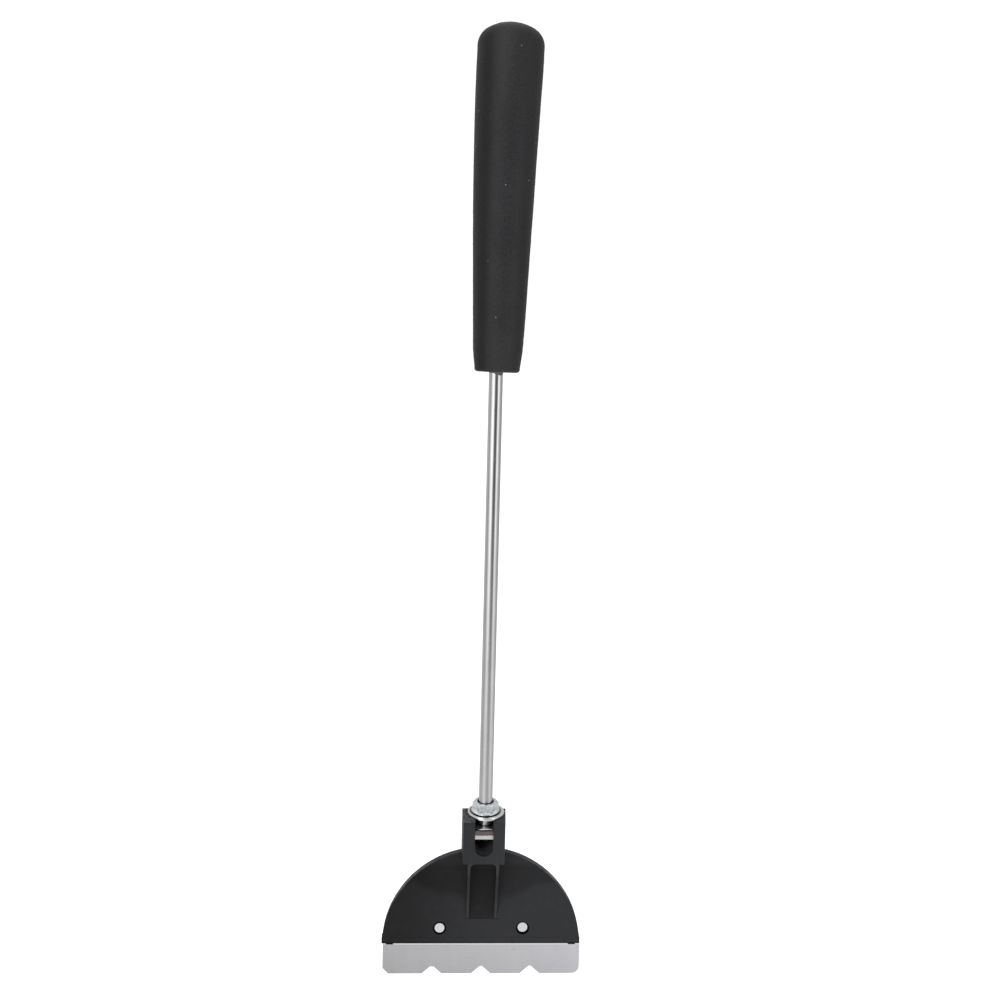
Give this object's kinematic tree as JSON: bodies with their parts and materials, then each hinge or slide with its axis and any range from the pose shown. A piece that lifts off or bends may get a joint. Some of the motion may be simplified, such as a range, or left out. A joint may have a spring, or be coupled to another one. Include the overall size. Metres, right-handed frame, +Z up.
{
  "type": "algae scraper",
  "caption": "Long-handled algae scraper: a foam grip on a thin steel rod that screws into a half-moon moulded head with a notched steel blade.",
  "frame": {"origin": "on the rod's centre line at the height where a hand holds the grip, 340 mm above the blade's edge", "axes": "+Z up the rod from the blade to the grip, +X across the blade, -Y the side that the neck stands out on, +Y the flat back of the head"},
  "size_m": [0.0885, 0.0278, 0.4122],
  "materials": {
    "black_foam": "matte closed-cell foam",
    "bright_rod": "drawn bright steel",
    "zinc_plate": "zinc plated, slightly blue",
    "polished_steel": "polished",
    "black_plastic": "moulded, satin",
    "blade_steel": "satin stainless"
  },
  "bodies": {
    "handle": {"foam_grip": "black_foam", "handle_rod": "bright_rod"},
    "jam_nut": {"flange_nut": "zinc_plate"},
    "loose_washer": {"washer": "polished_steel"},
    "head": {"scraper_head": "black_plastic", "scraper_blade": "blade_steel", "blade_rivet_left": "polished_steel", "blade_rivet_right": "polished_steel", "neck_nut": "zinc_plate"}
  },
  "joints": [
    {"name": "flange_nut_turn", "type": "hinge", "parent": "handle", "child": "jam_nut", "pos_m": [0, 0, -0.26], "axis": [0, 0, 1], "continuous": true},
    {"name": "head_drop", "type": "slide", "parent": "handle", "child": "loose_washer", "axis": [0, 0, -1], "range_m": [0, 0.0036]},
    {"name": "head_unscrew", "type": "hinge", "parent": "loose_washer", "child": "head", "pos_m": [0, 0, -0.2712], "axis": [0, 0, -1], "range_deg": [0, 1260]}
  ],
  "couplings": [
    {"joint": "head_drop", "follows": "head_unscrew", "m_per_rad": 0.00015915}
  ]
}
